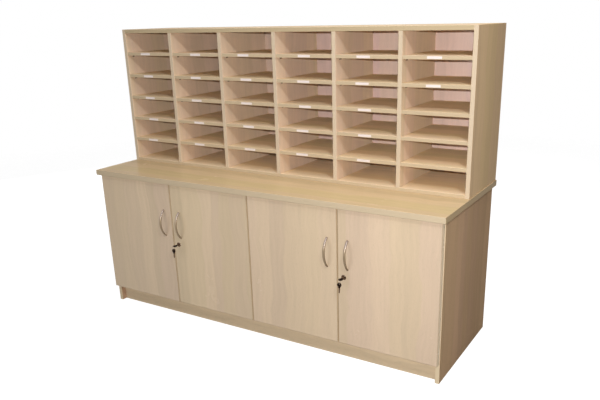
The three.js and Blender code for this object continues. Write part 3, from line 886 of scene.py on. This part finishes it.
class SORTER_OT_hinges(SorterOperator, bpy.types.Operator):
    """Finish the hinges, and add their screws and links"""

    bl_idname = "sorter.hinges"
    bl_label = "Hinges"

    def execute(self, context):
        sizes = context.scene.sorter_hardware
        nickel = nickel_plate(sizes)
        for number, door in enumerate(DOORS, 1):
            hinge_line = Vector(JOINTS[f"{door}_swing"]["pos_m"])
            plate_screws, cup_screws = bmesh.new(), bmesh.new()
            for level in LEVELS:
                cup, arm = f"hinge_cup_{number}_{level}", f"hinge_arm_{number}_{level}"
                dress([cup, arm], nickel)
                self.screws(plate_screws, cup_screws, cup, arm, hinge_line, sizes)
                self.links(f"hinge_links_{number}_{level}", door, cup, sizes, nickel)
            add_piece(f"hinge_plate_screws_{number}", plate_screws, "carcass", nickel)
            add_piece(f"hinge_cup_screws_{number}", cup_screws, door, nickel)
        return {"FINISHED"}

    def screws(self, plate_screws, cup_screws, cup, arm, hinge_line, sizes):
        """Two screws in the cup's flange, two in the wing plate, and the two that set the arm."""
        low, high, middle = spans(cup)
        for z in (low.z + CUP_SCREW_INSET, high.z - CUP_SCREW_INSET):
            add_screw(cup_screws, (middle.x, high.y, z), (0, 1, 0), sizes.screw_head)
        inward = 1 if middle.x > hinge_line.x else -1
        low, high, middle = spans(arm)
        face = low.x if inward > 0 else high.x
        plate_top, arm_top = face + inward * PLATE_HEIGHT, face + inward * ARM_HEIGHT
        drill_line = hinge_line.y + DRILL_LINE
        for z in (low.z + PLATE_SCREW_INSET, high.z - PLATE_SCREW_INSET):
            add_screw(plate_screws, (plate_top, drill_line, z), (inward, 0, 0), sizes.screw_head)
        for along in ARM_SCREWS:
            place = (arm_top, drill_line + along, middle.z)
            add_screw(plate_screws, place, (inward, 0, 0), sizes.screw_head * ARM_SCREW_SHARE)

    def links(self, name, door, cup, sizes, nickel, steps=28):
        """Two links from the arm's nose into the cup."""
        low, high, (x, _, z) = spans(cup)
        start, end = high.y + LINK_NOSE, low.y + LINK_FLOOR
        section = rounded_rectangle(sizes.link_width, sizes.link_thickness, LINK_CORNER, 0.0, steps=2)
        bm = bmesh.new()
        for side in (-1, 1):
            middle_z = z + side * LINK_SPREAD
            loops = []
            for step in range(steps + 1):
                y = start + (end - start) * step / steps
                loops.append([(x + a, y, middle_z + b) for a, b, _ in section])
            skin(bm, loops, Matrix.Identity(4))
        links = add_piece(name, bm, None, nickel)
        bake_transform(links)


class SORTER_OT_locks(SorterOperator, bpy.types.Operator):
    """Finish the locks"""

    bl_idname = "sorter.locks"
    bl_label = "Locks"

    def execute(self, context):
        metal = lock_plate_with_painted_reflections(context.scene.sorter_hardware)
        for side in SIDES:
            dress([f"lock_housing_{side}", f"lock_plug_{side}"], metal)
        return {"FINISHED"}


class SORTER_OT_keys(SorterOperator, bpy.types.Operator):
    """Model the keys in the locks, their rings and the spare keys"""

    bl_idname = "sorter.keys"
    bl_label = "Keys and rings"

    def execute(self, context):
        sizes = context.scene.sorter_hardware
        plastic = moulded_plastic("Key plastic", sizes.key_plastic)
        metal = lock_plate_with_painted_reflections(sizes)
        for side in SIDES:
            low, high, middle = spans(f"key_{side}")
            radius = sizes.key_head / 2
            place = Matrix.Translation((middle.x, low.y + radius, middle.z))
            self.key(f"key_{side}", f"lock_{side}", place, high.y - low.y, sizes, plastic, metal)
            spare = f"spare_key_{side}"
            low, high, middle = spans(spare)
            place = Matrix.Translation((middle.x, middle.y, high.z - radius))
            hanging = place @ Matrix.Rotation(-math.pi / 2, 4, "X")
            self.key(spare, spare, hanging, high.z - low.z, sizes, plastic, metal)
            self.ring(side, sizes, nickel_plate(sizes))
        return {"FINISHED"}

    def key(self, node_name, body, matrix, reach, sizes, plastic, metal):
        """A key along Y: a round plastic head with a hole and a neck, and a metal blade with cuts."""
        radius, half = sizes.key_head / 2, sizes.key_thickness / 2
        bm = bmesh.new()
        outside = [(KEY_SOFTNESS, -half), (0.0, KEY_SOFTNESS - half)]
        outside += [(inset, -height) for inset, height in reversed(outside)]
        wide = KEY_HOLE + KEY_HOLE_CHAMFER
        inside = [(wide, half), (KEY_HOLE, half - KEY_HOLE_CHAMFER)]
        inside += [(size, -height) for size, height in reversed(inside)]
        loops = [self.head_outline(sizes, inset, height) for inset, height in outside]
        loops += [self.hole_outline(sizes, size, height) for size, height in inside]
        skin(bm, loops, matrix, closed=True)
        head = add_piece(f"{node_name}_head", bm, body, plastic)
        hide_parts(node_name)
        bm = bmesh.new()
        thick = sizes.key_blade_thickness / 2
        start = sizes.key_neck_reach - BLADE_GRIP
        outline = self.blade_outline(sizes.key_blade / 2, start, reach - radius)
        skin(bm, [[(x, y, z) for x, y in outline] for z in (-thick, thick)], matrix)
        add_piece(f"{node_name}_blade", bm, body, metal)

    def head_outline(self, sizes, inset, height, steps=44):
        """Outline of a key's head: a disc that runs into a neck with round corners."""
        radius, half = sizes.key_head / 2 - inset, sizes.key_neck / 2 - inset
        reach = sizes.key_neck_reach - inset
        opening = math.asin(half / radius)
        start, sweep = math.pi / 2 + opening, 2 * (math.pi - opening)
        angles = [start + sweep * step / steps for step in range(steps + 1)]
        outline = [(radius * math.cos(a), radius * math.sin(a), height) for a in angles]
        neck = [(half, reach - NECK_CORNER), (half - NECK_CORNER, reach)]
        neck += [(-x, y) for x, y in reversed(neck)]
        return outline + [(x, y, height) for x, y in neck]

    def hole_outline(self, sizes, radius, height):
        """Outline of the hole in a key's head, a point for each point of the head's outline."""
        outline = self.head_outline(sizes, 0.0, height)
        angles = [math.atan2(y - KEY_HOLE_PLACE, x) for x, y, _ in outline]
        return [(radius * math.cos(a), KEY_HOLE_PLACE + radius * math.sin(a), height) for a in angles]

    def blade_outline(self, half, start, end):
        """A blade's outline, with shallow cuts along one edge and a tapered tip."""
        points = [(-half, start), (half, start)]
        shoulder = end - BLADE_TAPER
        first = shoulder - CUT_MARGIN - CUT_PITCH * len(CUT_DEPTHS)
        for count, depth in enumerate(CUT_DEPTHS):
            y = first + CUT_PITCH * count
            points += [(half, y), *((half - depth, y + along) for along in CUT_FLAT)]
        tip = [(half, shoulder), (half - BLADE_TAPER, end)]
        return points + tip + [(-x, y) for x, y in reversed(tip)]

    def ring(self, side, sizes, nickel, turns=2, steps=40, sides=10):
        """A split ring of two turns of wire."""
        low, high, middle = spans(f"key_ring_{side}")
        wire = sizes.ring_wire / 2
        radius = (high.z - low.z) / 2 - RING_INSET
        section = circle(wire, sides)
        sideways = Vector((1.0, 0.0, 0.0))
        loops = []
        for step in range(turns * steps + 1):
            angle = 2 * math.pi * step / steps
            drift = (step / (turns * steps) - 0.5) * 2 * wire
            out = Vector((0.0, math.cos(angle), math.sin(angle)))
            loops.append([middle + out * (radius + a) + sideways * (drift + b) for a, b, _ in section])
        bm = bmesh.new()
        skin(bm, loops, Matrix.Identity(4))
        ring = add_piece(f"split_ring_{side}", bm, f"lock_{side}", nickel)
        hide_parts(f"key_ring_{side}")


class SORTER_OT_stage(SorterOperator, bpy.types.Operator):
    """Set up the floor, the light and the camera"""

    bl_idname = "sorter.stage"
    bl_label = "Stage"

    def execute(self, context):
        stage = context.scene.sorter_stage
        context.scene.view_settings.view_transform = "Standard"
        self.floor(stage)
        self.world(context.scene, stage)
        for name, (place, target, size) in LAMPS.items():
            self.lamp(f"{name.capitalize()} lamp", place, target, size, getattr(stage, name))
        self.camera(context.scene, stage)
        return {"FINISHED"}

    def seen(self, tree):
        """1 for a ray from the camera or from a reflection, where the background shows white."""
        path = node(tree, "LightPath").outputs
        direct = math_node(tree, "MAXIMUM", path["Is Camera Ray"], path["Is Glossy Ray"])
        return math_node(tree, "MAXIMUM", direct, path["Is Transmission Ray"])

    def floor(self, stage):
        """A pale floor that keeps the object's shadow and fades into the white background."""
        bm = bmesh.new()
        bmesh.ops.create_circle(bm, cap_ends=True, segments=96, radius=FLOOR_RADIUS)
        floor = new_object("floor", mesh_of("floor", bm))
        material, tree, shader = blank_material("Floor")
        place = node(tree, "TexCoord").outputs["Object"]
        grain = noise(tree, place, scale=3.0, detail=3.0)
        tone = shades(tree, grain, stage.floor, darkest=0.98, lightest=1.02)
        feed(tree, shader, Base_Color=tone, Roughness=0.9, Specular_IOR_Level=0.0)
        strength = math_node(tree, "MULTIPLY", self.seen(tree), stage.glow)
        glow = node(tree, "Emission", {"Strength": strength})
        lit = node(tree, "AddShader", {0: shader.outputs[0], 1: glow.outputs[0]})
        away = node(tree, "VectorMath", {0: place}, operation="LENGTH").outputs["Value"]
        fade = remap(tree, away, *FLOOR_FADE)
        clear = node(tree, "BsdfTransparent")
        mixed = node(tree, "MixShader", {0: fade, 1: lit.outputs[0], 2: clear.outputs[0]})
        feed(tree, node_of_type(tree, "OUTPUT_MATERIAL"), Surface=mixed.outputs[0])
        floor.data.materials.append(material)

    def world(self, scene, stage):
        """Even light from all round, white where it is seen."""
        scene.world = bpy.data.worlds.new("Studio")
        scene.world.use_nodes = True
        tree = scene.world.node_tree
        background = node_of_type(tree, "BACKGROUND")
        strength = remap(tree, self.seen(tree), 0.0, 1.0, stage.sky, 1.0)
        feed(tree, background, Color=(1.0, 1.0, 1.0, 1.0), Strength=strength)

    def lamp(self, name, place, target, size, power):
        """A soft lamp that points at a target, and that the camera doesn't see."""
        data = bpy.data.lights.new(name, "AREA")
        data.shape = "RECTANGLE"
        data.size, data.size_y = size
        data.energy = power
        lamp = new_object(name, data)
        lamp.location = place
        lamp.rotation_euler = (Vector(target) - Vector(place)).to_track_quat("-Z", "Y").to_euler()
        lamp.visible_camera = False

    def camera(self, scene, stage):
        """The camera at the photograph's viewpoint, its lens axis shifted off the picture's middle."""
        data = bpy.data.cameras.new("Camera")
        data.lens = stage.focal * data.sensor_width / IMAGE_WIDTH
        data.shift_x = (IMAGE_WIDTH / 2 - stage.centre_x) / IMAGE_WIDTH
        data.shift_y = (stage.centre_y - IMAGE_HEIGHT / 2) / IMAGE_WIDTH
        camera = new_object("Camera", data)
        aim = Matrix.Rotation(stage.yaw, 4, "Z") @ Matrix.Rotation(stage.pitch, 4, "X")
        upright = Matrix.Rotation(stage.roll, 4, "Y") @ Matrix.Rotation(math.pi / 2, 4, "X")
        camera.matrix_world = Matrix.Translation(stage.camera_place) @ aim @ upright
        scene.camera = camera


OPERATORS = [
    SORTER_OT_stage,
    SORTER_OT_rack,
    SORTER_OT_cupboard,
    SORTER_OT_doors,
    SORTER_OT_labels,
    SORTER_OT_studs,
    SORTER_OT_handles,
    SORTER_OT_hinges,
    SORTER_OT_locks,
    SORTER_OT_keys,
]


class SORTER_PT_panel(bpy.types.Panel):
    """The sorter's settings and operators"""

    bl_idname = "SORTER_PT_panel"
    bl_label = "Mail sorter"
    bl_space_type = "VIEW_3D"
    bl_region_type = "UI"
    bl_category = "Mail sorter"

    def draw(self, context):
        for settings, group in SETTINGS.items():
            box = self.layout.box()
            for name in group.__annotations__:
                box.prop(getattr(context.scene, settings), name)
        for operator in OPERATORS:
            self.layout.operator(operator.bl_idname)


CLASSES = [*SETTINGS.values(), *OPERATORS, SORTER_PT_panel]


def register():
    for cls in CLASSES:
        bpy.utils.register_class(cls)
    for name, group in SETTINGS.items():
        setattr(bpy.types.Scene, name, PointerProperty(type=group))


def unregister():
    for name in SETTINGS:
        delattr(bpy.types.Scene, name)
    for cls in reversed(CLASSES):
        bpy.utils.unregister_class(cls)


def main():
    register()
    for operator in OPERATORS:
        category, name = operator.bl_idname.split(".")
        getattr(getattr(bpy.ops, category), name)()


if __name__ == "__main__":
    main()
